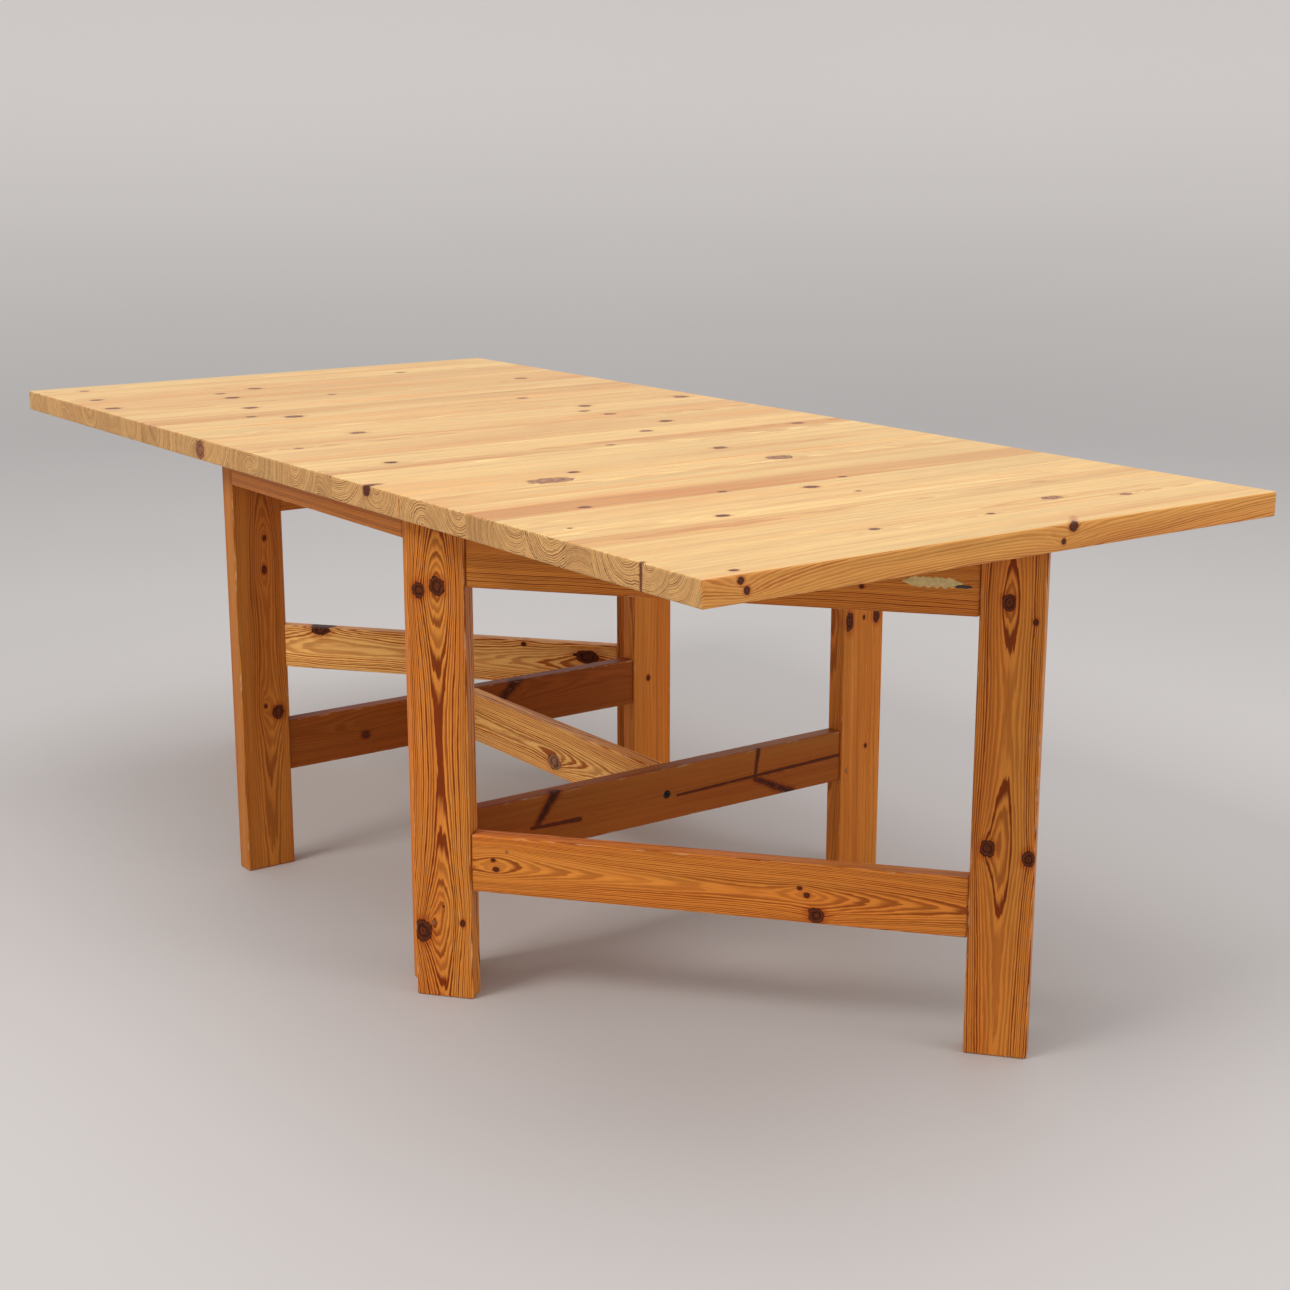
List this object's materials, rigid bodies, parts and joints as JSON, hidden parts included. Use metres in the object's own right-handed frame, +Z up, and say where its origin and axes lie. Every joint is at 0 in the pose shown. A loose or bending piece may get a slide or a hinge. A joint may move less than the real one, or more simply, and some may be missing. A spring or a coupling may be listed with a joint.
{
  "type": "gateleg table",
  "caption": "Rectangular solid pine gateleg table with a fixed middle on a stretchered frame, hinged leaves raised at both ends and diagonal gates swung out under them.",
  "frame": {"origin": "on the floor under the middle of the table, leaves up", "axes": "+X along the table towards the near leaf, +Y across the table, +Z up"},
  "size_m": [2.03, 0.96, 0.72],
  "materials": {
    "pine_top": "satin clear lacquer over knotty pine boards, golden",
    "pine_frame": "satin clear lacquer over knotty pine, aged orange-brown",
    "zinc_steel": "zinc plated, dull",
    "black_bolts": "blackened steel"
  },
  "bodies": {
    "root": {"centre_stretcher": "pine_frame", "far_barrel_nut": "zinc_steel", "far_gate_hinge_1_fixed_plate": "zinc_steel", "far_gate_hinge_1_pin": "zinc_steel", "far_gate_hinge_2_fixed_plate": "zinc_steel", "far_gate_hinge_2_pin": "zinc_steel", "far_leaf_hinge_1_fixed_plate": "zinc_steel", "far_leaf_hinge_1_pin": "zinc_steel", "far_leaf_hinge_2_fixed_plate": "zinc_steel", "far_leaf_hinge_2_pin": "zinc_steel", "far_left_leg": "pine_frame", "far_lower_end_rail": "pine_frame", "far_right_leg": "pine_frame", "far_stretcher_bolt": "black_bolts", "far_top_screw_1": "zinc_steel", "far_top_screw_2": "zinc_steel", "far_top_screw_3": "zinc_steel", "far_upper_end_rail": "pine_frame", "left_side_apron": "pine_frame", "near_barrel_nut": "zinc_steel", "near_gate_hinge_1_fixed_plate": "zinc_steel", "near_gate_hinge_1_pin": "zinc_steel", "near_gate_hinge_2_fixed_plate": "zinc_steel", "near_gate_hinge_2_pin": "zinc_steel", "near_leaf_hinge_1_fixed_plate": "zinc_steel", "near_leaf_hinge_1_pin": "zinc_steel", "near_leaf_hinge_2_fixed_plate": "zinc_steel", "near_leaf_hinge_2_pin": "zinc_steel", "near_left_leg": "pine_frame", "near_lower_end_rail": "pine_frame", "near_right_leg": "pine_frame", "near_stretcher_bolt": "black_bolts", "near_top_screw_1": "zinc_steel", "near_top_screw_2": "zinc_steel", "near_top_screw_3": "zinc_steel", "near_upper_end_rail": "pine_frame", "right_side_apron": "pine_frame", "top_centre": "pine_top"},
    "near_gate": {"near_gate_hinge_1_moving_plate": "zinc_steel", "near_gate_hinge_2_moving_plate": "zinc_steel", "near_gate_lower_rail": "pine_frame", "near_gate_pivot_leg": "pine_frame", "near_gate_swing_leg": "pine_frame", "near_gate_upper_rail": "pine_frame"},
    "far_gate": {"far_gate_hinge_1_moving_plate": "zinc_steel", "far_gate_hinge_2_moving_plate": "zinc_steel", "far_gate_lower_rail": "pine_frame", "far_gate_pivot_leg": "pine_frame", "far_gate_swing_leg": "pine_frame", "far_gate_upper_rail": "pine_frame"},
    "near_leaf": {"near_gate_stop": "pine_frame", "near_leaf": "pine_top", "near_leaf_hinge_1_moving_plate": "zinc_steel", "near_leaf_hinge_2_moving_plate": "zinc_steel"},
    "far_leaf": {"far_gate_stop": "pine_frame", "far_leaf": "pine_top", "far_leaf_hinge_1_moving_plate": "zinc_steel", "far_leaf_hinge_2_moving_plate": "zinc_steel"}
  },
  "joints": [
    {"name": "near_gate_swing", "type": "hinge", "parent": "root", "child": "near_gate", "pos_m": [0.3055, -0.433, 0], "axis": [0, 0, 1], "range_deg": [0, 50.6]},
    {"name": "far_gate_swing", "type": "hinge", "parent": "root", "child": "far_gate", "pos_m": [-0.3055, 0.433, 0], "axis": [0, 0, 1], "range_deg": [0, 50.6]},
    {"name": "near_leaf_hinge", "type": "hinge", "parent": "root", "child": "near_leaf", "pos_m": [0.355, 0, 0.6827], "axis": [0, 1, 0], "range_deg": [-1.5, 0]},
    {"name": "far_leaf_hinge", "type": "hinge", "parent": "root", "child": "far_leaf", "pos_m": [-0.355, 0, 0.6827], "axis": [0, -1, 0], "range_deg": [-1.5, 0]}
  ]
}
